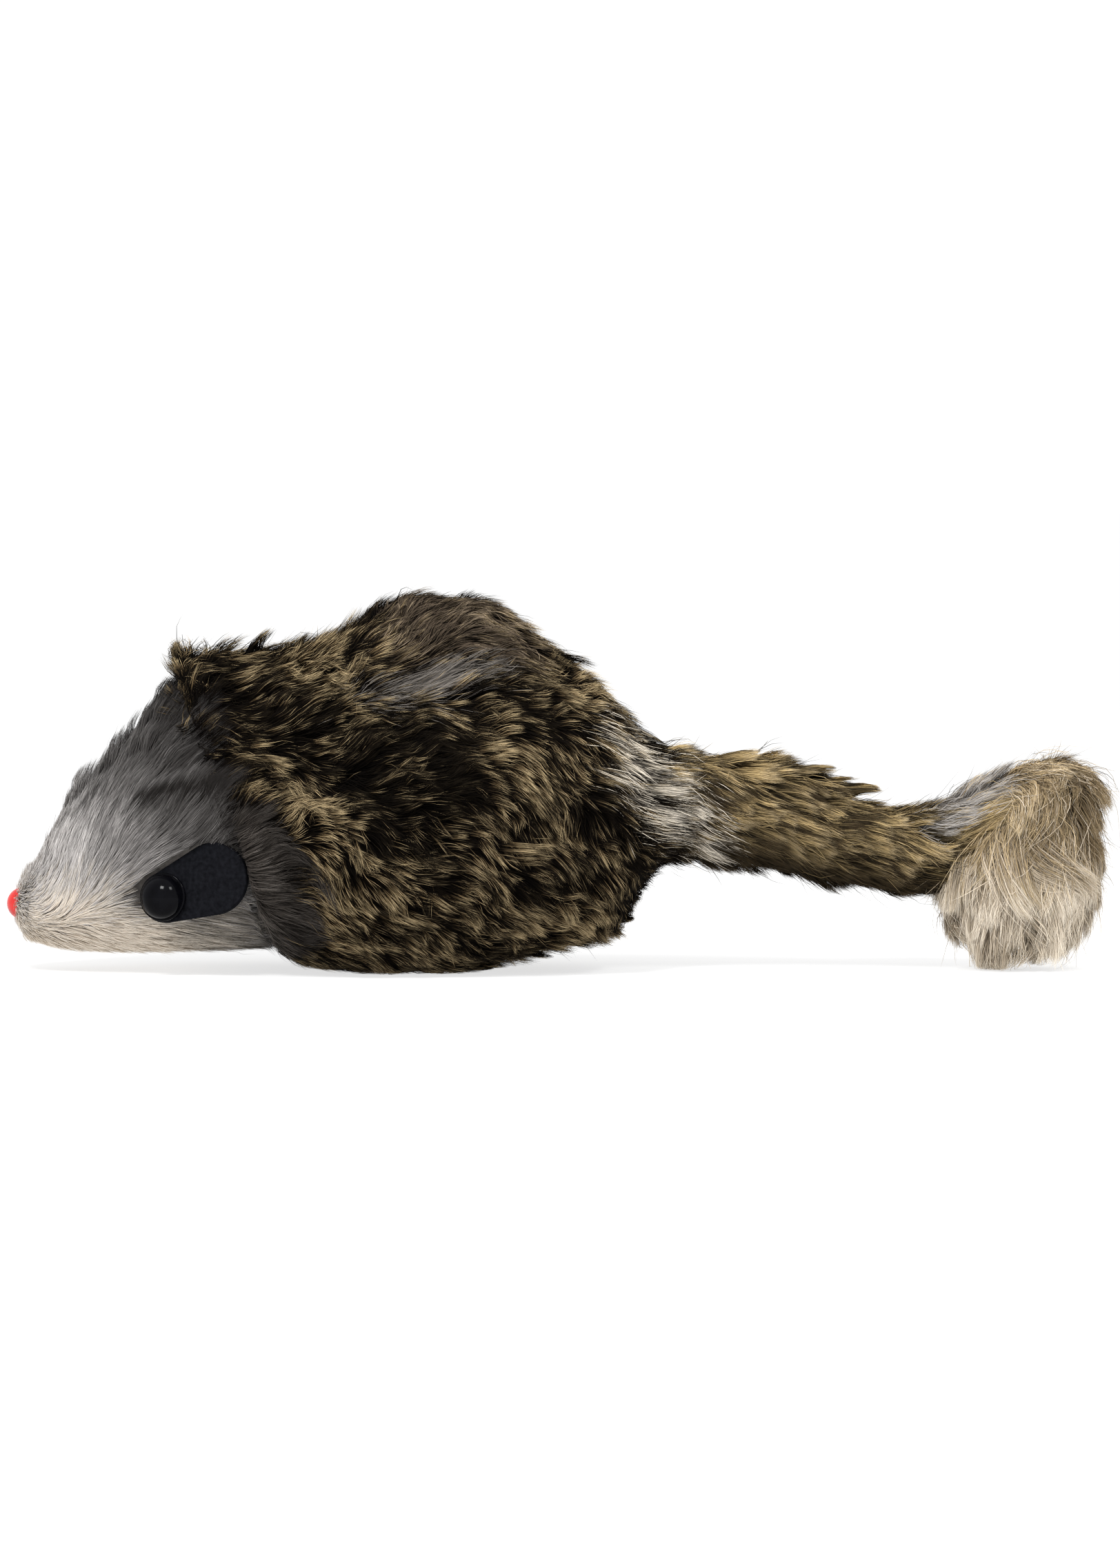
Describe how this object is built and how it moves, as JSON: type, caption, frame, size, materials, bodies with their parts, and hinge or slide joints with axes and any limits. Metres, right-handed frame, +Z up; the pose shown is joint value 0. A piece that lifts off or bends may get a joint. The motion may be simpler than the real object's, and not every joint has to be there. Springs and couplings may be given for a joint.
{
  "type": "mouse cat toy",
  "caption": "Fur-covered mouse toy for cats with a rattle shell, foam ears, dome eyes and a springy fur tail that ends in a hanging tuft.",
  "frame": {"origin": "middle of the flat of the belly, where the toy rests on the floor", "axes": "+Z up out of the back, +X along the toy from nose to tail; the nose points along -X and the toy's left side faces -Y"},
  "size_m": [0.1873, 0.0602, 0.0647],
  "materials": {
    "shell_plastic": "matt moulded",
    "bead_plastic": "smooth",
    "plug_plastic": "matt moulded",
    "wad_fibre": "loose white fibre",
    "long_pile": "long agouti fur, dark with tan tips",
    "short_pile": "short fur, white to grey-brown",
    "tail_pile": "fur, golden brown above and dark below",
    "tuft_pile": "long pale beige hair",
    "red_gloss": "glossy red",
    "black_gloss": "high gloss black",
    "black_foam": "matt black foam sheet"
  },
  "bodies": {
    "core": {"shell_left": "shell_plastic", "shell_right": "shell_plastic", "tail_plug": "plug_plastic", "back_wad": "wad_fibre", "body_fur": "long_pile", "head_fur": "short_pile", "nose_bead": "red_gloss", "eye_left": "black_gloss", "eye_right": "black_gloss", "ear_left_tab": "black_foam", "ear_right_tab": "black_foam"},
    "ear_left_lobe": {"ear_left_flap": "black_foam"},
    "ear_right_lobe": {"ear_right_flap": "black_foam"},
    "tail_root": {"tail_root_fur": "tail_pile"},
    "tail_middle": {"tail_mid_fur": "tail_pile"},
    "tail_tip": {"tail_end_fur": "tail_pile", "tail_tuft": "tuft_pile"},
    "bead_1": {"rattle_bead_1": "bead_plastic"},
    "bead_2": {"rattle_bead_2": "bead_plastic"},
    "bead_3": {"rattle_bead_3": "bead_plastic"}
  },
  "joints": [
    {"name": "ear_left_fold", "type": "hinge", "parent": "core", "child": "ear_left_lobe", "pos_m": [-0.03511, -0.0195, 0.01541], "axis": [0.3062, -0.2152, -0.9273], "range_deg": [0, 50], "stiffness_Nm_per_rad": 0.0005},
    {"name": "ear_right_fold", "type": "hinge", "parent": "core", "child": "ear_right_lobe", "pos_m": [-0.03511, 0.0195, 0.01541], "axis": [-0.3062, -0.2152, 0.9273], "range_deg": [0, 50], "stiffness_Nm_per_rad": 0.0005},
    {"name": "tail_swing", "type": "hinge", "parent": "core", "child": "tail_root", "pos_m": [0.0503, 0, 0.0283], "axis": [0, 0, 1], "range_deg": [-35, 35], "stiffness_Nm_per_rad": 0.15},
    {"name": "tail_lift", "type": "hinge", "parent": "tail_root", "child": "tail_middle", "pos_m": [0.0681, 0, 0.0263], "axis": [0, -1, 0], "range_deg": [-20, 30], "stiffness_Nm_per_rad": 0.15},
    {"name": "tail_end_swing", "type": "hinge", "parent": "tail_middle", "child": "tail_tip", "pos_m": [0.0873, 0, 0.0209], "axis": [0, 0, 1], "range_deg": [-30, 30], "stiffness_Nm_per_rad": 0.15},
    {"name": "rattle_bead_1_roll", "type": "slide", "parent": "core", "child": "bead_1", "axis": [1, 0, 0], "range_m": [-0.006, 0.006]},
    {"name": "rattle_bead_2_roll", "type": "slide", "parent": "core", "child": "bead_2", "axis": [1, 0, 0], "range_m": [-0.006, 0.006]},
    {"name": "rattle_bead_3_roll", "type": "slide", "parent": "core", "child": "bead_3", "axis": [1, 0, 0], "range_m": [-0.006, 0.006]}
  ]
}
